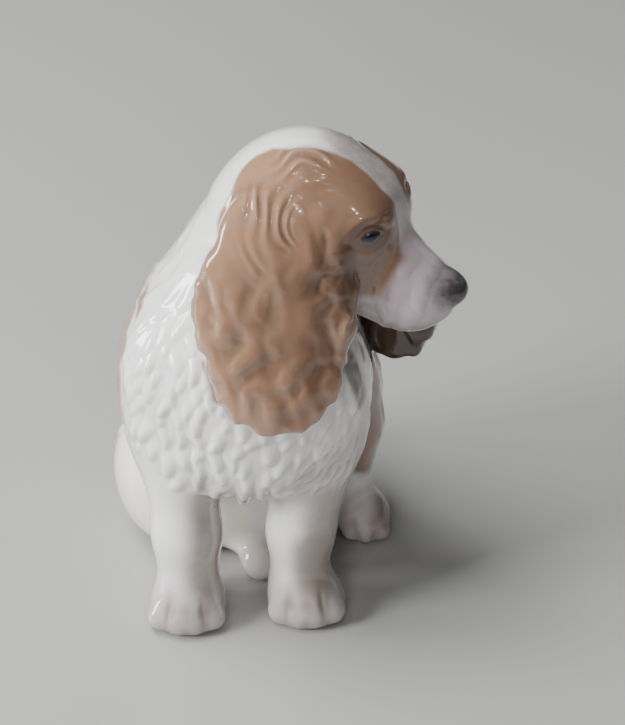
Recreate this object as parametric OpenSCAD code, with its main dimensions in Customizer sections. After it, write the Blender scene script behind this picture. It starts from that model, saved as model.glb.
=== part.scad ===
// Seated spaniel figurine in glazed porcelain.
// It is cast in plaster moulds as separate pieces. The body and the head are hollow, and
// the legs, feet, ears and tail are solid. They are luted together with slip before firing.
// The origin is the middle of the base's underside. The dog faces -Y, +X is its left side,
// +Z is up, and its head turns towards +X.

/* [Body] */
// Width of the body across the rump
rump_w = 68; // [57:1:82]
// Depth of the rump, front to back
rump_d = 60; // [50:1:72]
// Width of the body across the ribs
rib_w = 75; // [62:1:90]
// Height of the shoulders above the base
shoulder_h = 86; // [72:1:104]
// Width of the chest
chest_w = 68; // [56:1:82]
// How far the front of the chest stands from the middle of the base
chest_reach = 60; // [54:1:66]
// Thickness of the neck where it meets the shoulders
neck_d = 58; // [48:1:64]

/* [Head] */
// Height of the middle of the skull above the shoulders
head_rise = 42; // [36:1:51]
// How far the skull stands towards the dog's left
head_side = 20; // [14:1:24]
// How far the skull stands in front of the middle of the base
head_reach = 23; // [19:1:28]
// Turn of the head, from straight left towards the front
head_turn = 20; // [0:1:40]
// How far the muzzle points down
head_nod = 20; // [5:1:30]
// Length of the skull
skull_l = 50; // [42:1:60]
// Width of the skull
skull_w = 41; // [34:1:50]
// Height of the skull
skull_h = 43; // [36:1:51]
// Reach of the nose from the middle of the skull
nose_reach = 50; // [46:1:58]
// Width of the muzzle across the lips
muzzle_w = 25; // [20:1:30]
// Depth of the muzzle, from its bridge to the lips
muzzle_h = 26; // [22:1:30]

/* [Ears] */
// Length of the ear on the dog's right, which lies on the neck and the chest
right_ear_l = 76; // [63:1:92]
// Width of that ear at its widest
right_ear_w = 43; // [34:1:52]
// Length of the ear on the dog's left, which hangs free
left_ear_l = 66; // [52:1:74]
// Width of that ear
left_ear_w = 34; // [28:1:40]
// Thickness of an ear at its middle
ear_t = 18; // [14:1:22]

/* [Legs] */
// Thickness of a foreleg at the elbow
elbow_d = 24; // [19:1:28]
// Thickness of a foreleg at the wrist
wrist_d = 18.6; // [15:0.2:22]
// Distance between the middles of the two front paws
stance_w = 36; // [32:1:43]
// Width of a front paw
paw_w = 23; // [19:1:27]
// Length of a front paw
paw_l = 24; // [20:1:29]
// Height of a front paw
paw_h = 13; // [11:0.5:15]
// Width of each haunch
haunch_w = 40; // [34:1:48]
// How far each haunch stands out beside the rump
haunch_out = 9; // [6:1:12]
// Length of each haunch, front to back
haunch_l = 47; // [40:1:56]
// Height of the haunch on the dog's right, which is folded flat on the base
right_haunch_h = 44; // [37:1:52]
// Height of the haunch on the dog's left, which is drawn up
left_haunch_h = 73; // [62:1:86]
// Width of a hind foot
hind_foot_w = 16; // [13:1:19]
// Length of the docked tail behind the rump
tail_l = 10; // [7:1:14]

/* [Casting] */
// Wall of the hollow body and head
wall = 4; // [3:0.5:6]
// Width of the body's rim around the closing plate
foot_rim = 4; // [3:0.5:5]
// Thickness of the closing plate
plate_t = 3.5; // [2.5:0.5:5]
// Diameter of the vent hole in the closing plate
vent_d = 8; // [5:0.5:10]
// How far the vent hole lies behind the middle of the plate
vent_back = 7; // [6:0.5:8]

/* [Hidden] */

facets = 30;        // sides of a rounded form
plate_facets = 48;  // sides of the closing plate's outline
reach = 300;        // longer than the figurine, for cutting planes
cut_past = 1;       // how far a cutting form passes the face that it cuts

white = [0.93, 0.92, 0.90];
cream = [0.93, 0.88, 0.80];
tan = [0.60, 0.47, 0.38];
biscuit = [0.86, 0.83, 0.78];

// A form is [centre, radii]. The body's forms, from the seat up to the neck.
seat = [[0, 1, 11], [rump_w * 0.5, rump_d * 0.48, 15]];
rump = [[0, 2, shoulder_h * 0.30], [rump_w * 0.49, rump_d * 0.48, shoulder_h * 0.33]];
ribs = [[-4, -1, shoulder_h * 0.70], [rib_w / 2, rump_d * 0.45, shoulder_h * 0.41]];
chest = [[0, 34 - chest_reach, shoulder_h * 0.84], [chest_w / 2, 26, shoulder_h * 0.345]];
bib = [[3, 19 - chest_reach, shoulder_h * 0.78], [chest_w * 0.41, 19, shoulder_h * 0.30]];
shoulder_r = [13, 16, shoulder_h * 0.31];
shoulder_at = [24, 31 - chest_reach, shoulder_h * 0.75];
withers = [[-1, 44 - chest_reach, shoulder_h], [neck_d / 2, neck_d / 2, neck_d / 2]];

// The closing plate fills the flat underside of the seat, inside the rim.
seat_flat = sqrt(1 - pow(seat[0][2] / seat[1][2], 2));
plate_w = 2 * (seat[1][0] * seat_flat - foot_rim);
plate_l = 2 * (seat[1][1] * seat_flat - foot_rim);

// The head is modelled lying along +X, with the middle of the skull at its own origin.
head_at = [head_side, -head_reach, shoulder_h + head_rise];
skull = [[0, 0, 1], [skull_l / 2, skull_w / 2, skull_h / 2]];
cheeks = [[9, 0, -skull_h * 0.21], [skull_l * 0.4, skull_w * 0.43, skull_h * 0.35]];
brow_r = skull_w * 0.23;
stop_x = skull_l * 0.28;
bridge_r = muzzle_w * 0.34;
flew_r = [nose_reach * 0.31, muzzle_w * 0.3, muzzle_h * 0.4];
flew_z = -muzzle_h * 0.48;
nose_r = 5;

// The neck ends in a flat face, across the line from the withers to the skull.
neck_to = [head_at[0] * 0.5, head_at[1] + 5, head_at[2] - 4];
neck_top = [neck_to, [neck_d * 0.4, neck_d * 0.4, neck_d * 0.4]];
neck_line = neck_to - withers[0];
neck_cut_at = withers[0] + neck_line * 0.5;
neck_lean = acos(neck_line[2] / norm(neck_line));
neck_heading = atan2(neck_line[1], neck_line[0]);

// The ears hang from the sides of the skull.
right_ear_root = head_at + [-10, -skull_w / 2 + 1, -4];
left_ear_root = head_at + [11, skull_w / 2 + 1, -8];

// The forelegs stand under the chest, and the right paw is a little further forward.
elbow_z = shoulder_h * 0.62;
elbow_y = 20 - chest_reach;
right_step = 3;
wrist_z = paw_h + 1;

// The haunches lie against the sides of the rump.
haunch_x = rump_w / 2 + haunch_out - haunch_w / 2;
right_haunch = [[-haunch_x, -5, right_haunch_h * 0.45],
    [haunch_w / 2, haunch_l / 2, right_haunch_h * 0.55]];
left_haunch = [[haunch_x + 1, -6, left_haunch_h * 0.63],
    [haunch_w * 0.38, haunch_l * 0.42, left_haunch_h * 0.37]];
left_hock = [rump_w / 2 - 5, -4, 15];
left_foot_at = [rump_w / 2 - 1, -10, 6];
right_foot_at = [2, -rump_d / 2 - 2, 5];

// Rounded forms --------------------------------------------------------------------------

module ball(form, inset = 0)
    translate(form[0])
        scale([for (r = form[1]) r - inset])
            sphere(r = 1, $fn = facets);

// A smooth skin over two or more forms
module skin(forms, inset = 0)
    hull()
        for (form = forms)
            ball(form, inset);

// A round limb that tapers from one point to the next
module limb(from, to, from_r, to_r)
    skin([[from, [from_r, from_r, from_r]], [to, [to_r, to_r, to_r]]]);

// The half of space under the base
module below_base()
    translate([-reach, -reach, -reach])
        cube([2 * reach, 2 * reach, reach]);

// The half of space beyond the neck's flat face
module beyond_neck(sign)
    translate(neck_cut_at)
        rotate([0, neck_lean, neck_heading])
            translate([-reach, -reach, sign > 0 ? 0 : -2 * reach])
                cube(2 * reach);

module in_head()
    translate(head_at)
        rotate([0, 0, -head_turn])
            rotate([0, head_nod, 0])
                children();

// Whole outer forms, before the pieces are cut where they meet ----------------------------

module torso_form(inset = 0) {
    skin([seat, rump], inset);
    skin([rump, ribs], inset);
    skin([ribs, chest], inset);
    skin([chest, bib], inset);
    skin([ribs, withers], inset);
    skin([chest, withers], inset);
    skin([bib, withers], inset);
    skin([withers, neck_top], inset);
    for (side = [-1, 1])
        skin([[[side * shoulder_at[0], shoulder_at[1], shoulder_at[2]], shoulder_r],
            [[0, shoulder_at[1] + 6, shoulder_at[2] - 4], shoulder_r]], inset);
}

module head_form(inset = 0)
    in_head() {
        skin([skull, cheeks], inset);
        if (inset == 0) {
            for (side = [-1, 1]) {
                brow = [[stop_x, side * skull_w * 0.2, 5], [brow_r, brow_r, brow_r]];
                skin([skull, brow]);
                skin([cheeks, brow]);
            }
            muzzle();
        }
    }

module muzzle() {
    stop = [[stop_x, 0, -2], bridge_r * [1.2, 1.2, 1.2]];
    bridge = [[nose_reach * 0.84, 0, -4.5], bridge_r * [0.75, 0.8, 0.7]];
    skin([stop, bridge]);
    for (side = [-1, 1])
        skin([stop, bridge, [[nose_reach * 0.62, side * muzzle_w * 0.2, flew_z], flew_r],
            [[stop_x, side * muzzle_w * 0.2, flew_z * 0.9], flew_r]]);
    skin([bridge, [[nose_reach - nose_r, 0, -3.6], [nose_r, nose_r * 1.15, nose_r]]]);
}

module haunch_right_form()
    skin([right_haunch, [right_haunch[0] + [8, 4, 8], right_haunch[1] * 0.75]]);

module haunch_left_form() {
    skin([left_haunch, [left_haunch[0] + [-6, 4, -6], left_haunch[1] * 0.8]]);
    skin([[left_haunch[0] + [0, 2, -14], [10, 12, 14]], [left_hock, [7, 7, 7]]]);
}

module base_outline()
    polygon([for (i = [0 : plate_facets - 1])
        let (a = i * 360 / plate_facets)
            [plate_w / 2 * cos(a), seat[0][1] + plate_l / 2 * sin(a)]]);

// Pieces -----------------------------------------------------------------------------------

// The hollow body, open at the neck and over the closing plate
module torso()
    color(white)
        difference() {
            torso_form();
            beyond_neck(1);
            below_base();
            difference() {
                torso_form(wall);
                translate([0, 0, plate_t])
                    below_base();
            }
            translate([0, 0, -cut_past])
                linear_extrude(plate_t + 2 * cut_past)
                    base_outline();
        }

// The hollow head, which meets the body at the neck's flat face
module head()
    color(white)
        difference() {
            union() {
                head_form();
                skin([withers, neck_top]);
            }
            beyond_neck(-1);
            head_form(wall);
            skin([withers, neck_top], wall);
        }

// What the pieces luted to the outside are fitted against
module main_forms() {
    torso_form();
    head_form();
}

// An ear is a leaf with a rounded tip, thicker in its middle. On the way down it drifts
// along X and Y.
module ear_form(root, length, width, thick, drift) {
    upper = [root, [width * 0.4, thick * 0.55, length * 0.22]];
    middle = [root + [drift[0] * 0.5, drift[1] * 0.5, -length * 0.26],
        [width * 0.5, thick * 0.53, length * 0.3]];
    tip = [root + [drift[0], drift[1], -length * 0.49],
        [width * 0.44, thick * 0.47, length * 0.26]];
    skin([upper, middle]);
    skin([middle, tip]);
}

module ear_right()
    color(tan)
        difference() {
            ear_form(right_ear_root, right_ear_l, right_ear_w, ear_t, [-3, -15]);
            main_forms();
        }

module ear_left()
    color(tan)
        difference() {
            ear_form(left_ear_root, left_ear_l, left_ear_w, ear_t * 0.9, [11, 0]);
            haunch_left_form();
            main_forms();
        }

module foreleg(side, step, lean) {
    paw_x = side * stance_w / 2;
    difference() {
        union() {
            limb([side * 20, elbow_y, elbow_z], [paw_x - side * lean, elbow_y - 6 - step, wrist_z],
                elbow_d / 2, wrist_d / 2);
            skin([[[paw_x - side * lean, elbow_y - 6 - step, wrist_z], wrist_d / 2 * [1, 1, 1]],
                [[paw_x, elbow_y - 11 - step, paw_h * 0.45],
                    [paw_w * 0.46, paw_l * 0.46, paw_h * 0.5]]]);
            skin([[[paw_x, elbow_y - 11.5 - step, paw_h * 0.35],
                    [paw_w / 2, paw_l / 2, paw_h * 0.5]],
                [[paw_x, elbow_y - 9 - step, paw_h * 0.6],
                    [paw_w * 0.4, paw_l * 0.42, paw_h * 0.4]]]);
        }
        main_forms();
        below_base();
    }
}

module foreleg_right()
    color(white)
        foreleg(-1, right_step, 0);

module foreleg_left()
    color(white)
        foreleg(1, 0, 3);

module haunch_right()
    color(cream)
        difference() {
            haunch_right_form();
            main_forms();
            below_base();
        }

module haunch_left()
    color(tan)
        difference() {
            haunch_left_form();
            main_forms();
            below_base();
        }

// The folded right hind foot, which shows between the forelegs
module hind_foot_right()
    color(cream)
        difference() {
            union() {
                limb(right_foot_at + [-9, 16, 4], right_foot_at + [-0.5, 1, 0.4],
                    hind_foot_w * 0.56, hind_foot_w * 0.35);
                ball([right_foot_at, [hind_foot_w * 0.38, hind_foot_w * 0.47, 5]]);
            }
            haunch_right_form();
            main_forms();
            below_base();
        }

// The left hind foot, which stands beside the rump
module hind_foot_left()
    color(white)
        difference() {
            skin([[left_foot_at, [hind_foot_w * 0.54, hind_foot_w * 0.66, 7.5]],
                [left_foot_at + [-4, 10, 0], [5, 5, 5.5]], [left_hock, [7, 7, 6]]]);
            haunch_left_form();
            main_forms();
            below_base();
        }

module tail()
    color(white)
        difference() {
            limb([0, rump_d / 2 - 6, 14], [4, rump_d / 2 + tail_l - 2, 16], 7, 5);
            main_forms();
            below_base();
        }

// The unglazed plate that closes the body, with the vent hole for firing
module base_plate()
    color(biscuit)
        difference() {
            linear_extrude(plate_t)
                base_outline();
            translate([0, vent_back, -cut_past])
                cylinder(d = vent_d, h = plate_t + 2 * cut_past, $fn = plate_facets);
        }

torso();
head();
ear_right();
ear_left();
foreleg_right();
foreleg_left();
haunch_right();
haunch_left();
hind_foot_right();
hind_foot_left();
tail();
base_plate();
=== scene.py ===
from collections import Counter
from functools import partial
from math import cos, pi, radians, sin

import bpy
import numpy as np
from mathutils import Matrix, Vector
from mathutils.kdtree import KDTree


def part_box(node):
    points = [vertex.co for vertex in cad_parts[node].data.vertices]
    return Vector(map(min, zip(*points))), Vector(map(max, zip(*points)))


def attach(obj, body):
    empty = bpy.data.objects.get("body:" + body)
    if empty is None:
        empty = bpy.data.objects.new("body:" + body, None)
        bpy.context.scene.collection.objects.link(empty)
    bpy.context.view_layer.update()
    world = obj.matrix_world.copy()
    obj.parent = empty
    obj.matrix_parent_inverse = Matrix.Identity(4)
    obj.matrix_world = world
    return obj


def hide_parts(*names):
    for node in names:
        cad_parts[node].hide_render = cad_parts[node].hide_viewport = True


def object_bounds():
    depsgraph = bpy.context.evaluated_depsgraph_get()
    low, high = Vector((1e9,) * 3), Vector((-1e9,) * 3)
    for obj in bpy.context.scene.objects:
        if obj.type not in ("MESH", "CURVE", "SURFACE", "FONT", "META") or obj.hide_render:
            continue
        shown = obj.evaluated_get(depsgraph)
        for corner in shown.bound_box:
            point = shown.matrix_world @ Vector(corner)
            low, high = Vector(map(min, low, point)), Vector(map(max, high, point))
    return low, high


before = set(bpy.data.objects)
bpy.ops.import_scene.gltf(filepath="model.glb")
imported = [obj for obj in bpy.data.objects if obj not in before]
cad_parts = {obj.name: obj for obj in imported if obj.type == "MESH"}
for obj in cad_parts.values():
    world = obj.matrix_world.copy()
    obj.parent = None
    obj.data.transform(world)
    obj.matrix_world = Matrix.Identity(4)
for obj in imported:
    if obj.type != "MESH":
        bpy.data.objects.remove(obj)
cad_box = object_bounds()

# ---------------------------------------------------------------- Torso
# Trunk, chest and neck are the largest casting: white porcelain slip poured in a plaster mould
# and drained, so it is hollow. The long coat is tooled in the clay as overlapping locks.

MM = 0.001  # clay sizes are in millimetres, and the finished meshes in metres


def box_point(node, across, along, up):
    """A point of a CAD node's box in millimetres: 0 is the low side of the box and 1 the high side."""
    low, high = (np.array(corner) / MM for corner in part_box(node))
    return low + (high - low) * np.array((across, along, up))


def ease(x):
    """0 below 0 and 1 above 1, with a smooth change between them."""
    x = np.clip(x, 0, 1)
    return x * x * (3 - 2 * x)


def unit(vector):
    vector = np.asarray(vector, float)
    return vector / np.linalg.norm(vector, axis=-1, keepdims=True)


class Ball:
    """An ellipsoid of clay. Called with points, it gives their distance outside its surface."""

    def __init__(self, middle, radii, turn=0):
        self.middle = np.array(middle, float)
        self.radii = np.array(radii, float) * np.ones(3)
        self.reach = self.radii.max()
        c, s = cos(radians(turn)), sin(radians(turn))
        self.axes = np.array([[c, -s, 0], [s, c, 0], [0, 0, 1]])

    def __call__(self, points):
        local = (points - self.middle) @ self.axes
        near = np.linalg.norm(local / self.radii, axis=1)
        slope = np.linalg.norm(local / self.radii**2, axis=1)
        return near * (near - 1) / np.maximum(slope, 1e-9)

    def moved(self, by):
        self.middle = self.middle + by
        return self


class Limb:
    """A roll of clay with round ends, whose radius changes evenly from one end to the other."""

    def __init__(self, start, end, start_radius, end_radius):
        self.start = np.array(start, float)
        self.run = np.array(end, float) - self.start
        self.radius = start_radius
        self.taper = end_radius - start_radius
        self.middle = self.start + self.run / 2
        self.reach = np.linalg.norm(self.run) / 2 + max(start_radius, end_radius)

    def __call__(self, points):
        local = points - self.start
        share = np.clip(local @ self.run / (self.run @ self.run), 0, 1)
        away = np.linalg.norm(local - share[:, None] * self.run, axis=1)
        return away - self.radius - self.taper * share

    def moved(self, by):
        self.start = self.start + by
        self.middle = self.middle + by
        return self


def set_on(anchor, forms):
    """Moves forms given from an anchor to their place on the dog."""
    return [(form.moved(anchor), blend) for form, blend in forms]


def chain(points, blend):
    """A roll of clay through points that each have a radius as their fourth number."""
    pairs = zip(points[:-1], points[1:])
    return [(Limb(a[:3], b[:3], a[3], b[3]), blend) for a, b in pairs]


def melt(a, b, width):
    """Two forms pressed together, with the corner between them filled over that width."""
    h = np.maximum(width - np.abs(a - b), 0) / width
    return np.minimum(a, b) - h * h * width / 4


def no_clay(points):
    """The distance at each point before there is any clay: far away."""
    return np.full(len(points), 1e3)


def press_on(distance, points, forms):
    """Presses each form on the clay there already, with its own width of blend."""
    for form, blend in forms:
        gap = np.linalg.norm(points - form.middle, axis=1) - form.reach
        near = gap < distance + blend
        distance[near] = melt(distance[near], form(points[near]), blend)
    return distance


def swell(points, size, seed):
    """Soft random bumps from about -1 to 1, each about that size, the same on every run."""
    rng = np.random.default_rng(seed)
    total = np.zeros(len(points))
    waves = 9
    for _ in range(waves):
        direction = unit(rng.normal(size=points.shape[1]))
        length = size * rng.uniform(1.5, 2.6)
        total += np.sin(points @ direction * 2 * pi / length + rng.uniform(0, 2 * pi))
    return total / waves**0.5


clay = {}  # forms of each casting, pressed on in this order
coats = []  # fields of tooled locks
tooling = []  # functions that give the height of other tooled detail
sprays = []  # strokes of the airbrush

seat = box_point("base_plate", 0.5, 0.5, 0)
clay["torso"] = set_on(seat, [
    (Ball((0, 1, 24), (34, 29, 27)), 1),
    (Ball((0, -1, 12), (32, 28, 17)), 10),
    (Ball((-2, -2, 60), (39, 27, 36)), 10),
    (Ball((0, -27, 72), (34, 25, 30)), 12),
    (Ball((3, -41, 70), (28, 19, 25)), 10),
    (Ball((1, -45, 57), (21, 13.5, 13)), 6),
    (Limb((-1, -17, 86), (9, -20, 120), 30, 21.5), 13),
    (Ball((-24, -30, 64), (13.5, 16, 28)), 10),
    (Ball((22.5, -31, 68), (12, 15, 25)), 9),
])

# The bib ends in a row of tufts that overhang the gap between the forelegs.
bib_tufts = 9
for tuft in range(bib_tufts):
    side = -1 + 2 * tuft / (bib_tufts - 1)
    root = seat + (1 + 19 * side, -55 + 5 * side**2, 55.5 + (6.5 + 2.5 * side) * side**2 + (tuft % 2))
    tip = root + (-2.2 - 1.5 * side, -1.2, -7.5 - 1.2 * (tuft % 3 == 1))
    clay["torso"].append((Limb(root, tip, 4.2, 1.7), 2.2))


def stroke(points, width, height):
    """A line drawn in the clay with a tool: a ridge, or a groove where the height is below 0."""
    points = np.array(points, float)
    steps = 6
    taper = 0.25
    knots = np.vstack([2 * points[0] - points[1], points, 2 * points[-1] - points[-2]])
    line = []
    for a, b, c, d in zip(knots[:-3], knots[1:-2], knots[2:-1], knots[3:]):
        for t in np.arange(steps) / steps:
            cubic = (3 * b - a - 3 * c + d) * t**3 + (2 * a - 5 * b + 4 * c - d) * t**2
            line.append((cubic + (c - a) * t + 2 * b) / 2)
    line = np.array(line + [points[-1]])
    along = np.linspace(0, 1, len(line))
    press = ease(np.minimum(along, 1 - along) / taper)
    middle = (line.min(0) + line.max(0)) / 2
    reach = np.linalg.norm(line - middle, axis=1).max() + 3 * width

    def height_at(local):
        found = np.zeros(len(local))
        near = np.flatnonzero(np.linalg.norm(local - middle, axis=1) < reach)
        best = np.full(len(near), 1e9)
        weight = np.zeros(len(near))
        for i in range(len(line) - 1):
            run = line[i + 1] - line[i]
            away = local[near] - line[i]
            share = np.clip(away @ run / (run @ run), 0, 1)
            gap = np.linalg.norm(away - share[:, None] * run, axis=1)
            closer = gap < best
            best[closer] = gap[closer]
            weight[closer] = (press[i] + (press[i + 1] - press[i]) * share)[closer]
        found[near] = height * weight * np.exp(-((best / width) ** 2))
        return found

    return height_at


def coat(seed, low, high, zone, flow, length, width, height, spacing, curl=0.12):
    """A field of locks between two corners, where zone gives 0 to 1 and flow the lie of the hair."""
    coats.append(dict(seed=seed, low=low, high=high, zone=zone, flow=flow, length=length,
                      width=width, height=height, spacing=spacing, curl=curl))


def lie(*direction):
    return lambda points: np.broadcast_to(np.array(direction, float), points.shape)


def chest_zone(p):
    x, y, z = (p - seat).T
    hem = 46 + np.where(x < 0, 0.011, 0.022) * x**2
    return ease((z - hem) / 5) * ease((-36 - y) / 9) * ease((104 - z) / 16)


def chest_flow(p):
    x = p[:, 0] - seat[0]
    return np.stack([-0.15 - 0.5 * ease((x + 4) / 22), -0.1 * np.ones(len(x)), -np.ones(len(x))], 1)


def shoulder_zone(p):
    x, y, z = (p - seat).T
    side = ease((np.abs(x) - 8) / 8) * ease((-8 - y) / 8)
    return side * ease((z - 58) / 8) * ease((132 - z) / 14) * (1 - 0.55 * chest_zone(p))


def back_zone(p):
    x, y, z = (p - seat).T
    return ease((y + 16) / 8) * ease((z - 26) / 10) * ease((128 - z) / 10)


def flank_flow(p):
    x, y, z = (p - seat).T
    return np.stack([-0.25 * np.sign(x), 0.35 + 0 * x, -1 + 0 * x], 1)


def combed_zone(p):
    x, y, z = (p - seat).T
    spot = np.hypot(np.hypot((x - 23) / 13, (z - 61) / 13), (y + 50) / 14)
    return ease(1.5 * (1.15 - spot))


coat(11, (-40, -75, 44), (42, -30, 112), chest_zone, chest_flow, 11, 5.6, 1.15, 4.4)
coat(12, (-48, -62, 48), (50, -4, 135), shoulder_zone, lie(-0.2, 0.25, -1), 16, 6, 0.5, 6.2)
coat(13, (-48, -20, 24), (46, 42, 132), back_zone, flank_flow, 19, 4.6, 0.42, 6.6, 0.08)
coat(14, (4, -72, 44), (44, -30, 84), combed_zone, lie(-0.75, 0.1, -0.8), 16, 3, 1.05, 3.2)

# The white mantle of the shoulder stands a little proud of the tan saddle behind it.
mantle = [(-27, -9, 99), (-30.5, -17, 95), (-33.5, -27, 91),
          (-35.5, -34, 84), (-35.5, -40, 76), (-33, -43, 68)]
tooling.append(stroke(seat + mantle, 2.2, 0.5))
tooling.append(stroke(seat + mantle + (-1.5, 2.5, -1), 1.3, -0.5))


def spray(colour, form, reach, fade, strength):
    """One pass of the airbrush: full where the form is closer than reach, then fading out."""
    sprays.append((colour, form, reach, fade, strength))


def spray_line(colour, points, reach, fade, strength):
    """A pass of the airbrush through points."""
    for a, b in zip(points[:-1], points[1:]):
        spray(colour, Limb(seat + a, seat + b, 0.01, 0.01), reach, fade, strength)


class Patch:
    """One painted patch: forms run together, with the uneven edge of a hand-held airbrush."""

    blend = 12

    def __init__(self, forms, seed, uneven=2.2):
        self.forms = [(form, self.blend) for form in forms]
        self.seed = seed
        self.uneven = uneven
        self.middle = np.mean([form.middle for form in forms], 0)
        spans = [np.linalg.norm(form.middle - self.middle) + form.reach for form in forms]
        self.reach = max(spans) + 3 * uneven

    def __call__(self, points):
        distance = press_on(no_clay(points), points, self.forms)
        return distance + self.uneven * swell(points, 7, self.seed)


# The tan saddle lies over the right flank and behind the left shoulder, with white along the spine.
saddle_right = [Ball(seat + (-40, -8, 74), (16, 29, 31)), Ball(seat + (-33, 16, 58), (12, 15, 22)),
                Ball(seat + (-26, 24, 44), (9, 9, 14))]
saddle_left = [Ball(seat + (37, 2, 67), (15, 21, 36)), Ball(seat + (33, 22, 60), (9, 12, 18))]
spray("tan", Patch(saddle_right, 51), 0, 3.5, 0.95)
spray("tan", Patch(saddle_left, 52), 0, 3.5, 0.95)
rump_patch = [Ball(seat + (14, 30, 34), (12, 10, 11)), Ball(seat + (4, 32, 27), (9, 8, 8))]
spray("tan", Patch(rump_patch, 53), 0, 3, 0.9)
spray_line("bare", np.array(mantle) + (1.2, -1.5, 0), 0.6, 1.2, 1)
spray_line("bare", [(-22, -17, 96), (-26, -35, 84), (-24, -45, 72)], 6, 2, 1)
spray("bare", Ball(seat + (21, -37, 70), (13, 15, 32)), 0, 3, 1)
spray_line("brown", [(30.5, -42, 87), (31.5, -43, 74)], 2.3, 2.2, 0.72)
# A grey band along the foot of the bib tufts is painted shade under them.
spray_line("grey", [(-12, -55, 52), (0, -57, 47), (14, -54, 49)], 1.5, 7, 0.4)
spray_line("grey", [(18, -55, 56), (30, -46, 60)], 1, 8, 0.5)
spray_line("tan", [(-14.5, -47, 115), (-13.7, -47, 110)], 0.6, 1.4, 0.5)


def sockets(tree, way, kind, values):
    """Sockets of one kind on the outside of a node group, each with its usual value."""
    for name, value in values.items():
        made = tree.interface.new_socket(name=name, in_out=way, socket_type="NodeSocket" + kind)
        if value is not None:
            made.default_value = value


def math_node(tree, operation, first, second, clamp=False):
    """A Math node on two inputs, each a socket or a number."""
    node = tree.nodes.new("ShaderNodeMath")
    node.operation = operation
    node.use_clamp = clamp
    for slot, value in zip(node.inputs, (first, second)):
        if isinstance(value, (int, float)):
            slot.default_value = value
        else:
            tree.links.new(value, slot)
    return node.outputs[0]


def mix_colour(tree, share, first, second):
    """The first colour where the share is 0, and the second where it is 1."""
    node = tree.nodes.new("ShaderNodeMix")
    node.data_type = "RGBA"
    for slot, value in ((node.inputs[0], share), (node.inputs[6], first), (node.inputs[7], second)):
        if isinstance(value, (int, float, tuple)):
            slot.default_value = value
        else:
            tree.links.new(value, slot)
    return node.outputs[2]


def noise(tree, place, scale, detail, roughness=0.5):
    node = tree.nodes.new("ShaderNodeTexNoise")
    node.inputs["Scale"].default_value = scale
    node.inputs["Detail"].default_value = detail
    node.inputs["Roughness"].default_value = roughness
    tree.links.new(place, node.inputs["Vector"])
    return node.outputs["Fac"]


def mask_of(tree, attribute):
    node = tree.nodes.new("ShaderNodeAttribute")
    node.attribute_name = attribute
    return node


# The underglaze: ceramic colours sprayed on the biscuit, with the fine mottle of an airbrush.
# Glaze runs off sharp ridges and gathers in hollows, so ridges are paler and hollows deeper; the darker
# hollows are also painted shade.
underglaze = bpy.data.node_groups.new("underglaze_colours", "ShaderNodeTree")
colours = {"Porcelain": (0.85, 0.835, 0.815, 1), "Tan": (0.32, 0.172, 0.1, 1),
           "Brown": (0.105, 0.062, 0.042, 1), "Grey": (0.33, 0.275, 0.24, 1),
           "Blush": (0.46, 0.375, 0.405, 1), "Pooled Glaze": (0.40, 0.405, 0.41, 1)}
sockets(underglaze, "INPUT", "Color", colours)
sockets(underglaze, "INPUT", "Float", {"Mottle": 0.3, "Shade In Hollows": 0.7, "Ridges": 0.45})
sockets(underglaze, "OUTPUT", "Color", {"Color": None})
paint_maths = partial(math_node, underglaze)
given = underglaze.nodes.new("NodeGroupInput").outputs
place = underglaze.nodes.new("ShaderNodeTexCoord").outputs["Object"]
cloud = paint_maths("SUBTRACT", noise(underglaze, place, 260, 5, 0.62), 0.5)
grain = paint_maths("SUBTRACT", noise(underglaze, place, 2600, 2), 0.5)
uneven = paint_maths("ADD", cloud, paint_maths("MULTIPLY", grain, 0.45))
uneven = paint_maths("MULTIPLY", uneven, given["Mottle"])


def covered(name):
    """The share of the surface that one sprayed colour covers, broken up at its soft edges."""
    mask = mask_of(underglaze, name).outputs["Fac"]
    thin = paint_maths("MULTIPLY", mask, paint_maths("SUBTRACT", 1.0, mask))
    change = paint_maths("MULTIPLY", paint_maths("MULTIPLY", thin, 4.0), uneven)
    return paint_maths("ADD", mask, change, True)


# The hollow mask greys the white and turns tan to brown in recesses: pooled glaze, and painted shade.
deep = mask_of(underglaze, "hollow").outputs["Fac"]
high = mask_of(underglaze, "ridge").outputs["Fac"]
pooled = paint_maths("MULTIPLY", deep, 0.75)
painted = mix_colour(underglaze, pooled, given["Porcelain"], given["Pooled Glaze"])
painted = mix_colour(underglaze, covered("blush"), painted, given["Blush"])
painted = mix_colour(underglaze, covered("grey"), painted, given["Grey"])
thick = paint_maths("MULTIPLY", deep, given["Shade In Hollows"], True)
tan_tone = mix_colour(underglaze, thick, given["Tan"], given["Brown"])
tan_tone = mix_colour(underglaze, paint_maths("ADD", uneven, 0.12, True), tan_tone, given["Grey"])
bright = paint_maths("MULTIPLY", high, given["Ridges"], True)
tan_tone = mix_colour(underglaze, bright, tan_tone, (0.72, 0.52, 0.38, 1))
painted = mix_colour(underglaze, covered("tan"), painted, tan_tone)
painted = mix_colour(underglaze, covered("brown"), painted, given["Brown"])
out = underglaze.nodes.new("NodeGroupOutput")
underglaze.links.new(painted, out.inputs["Color"])

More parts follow.
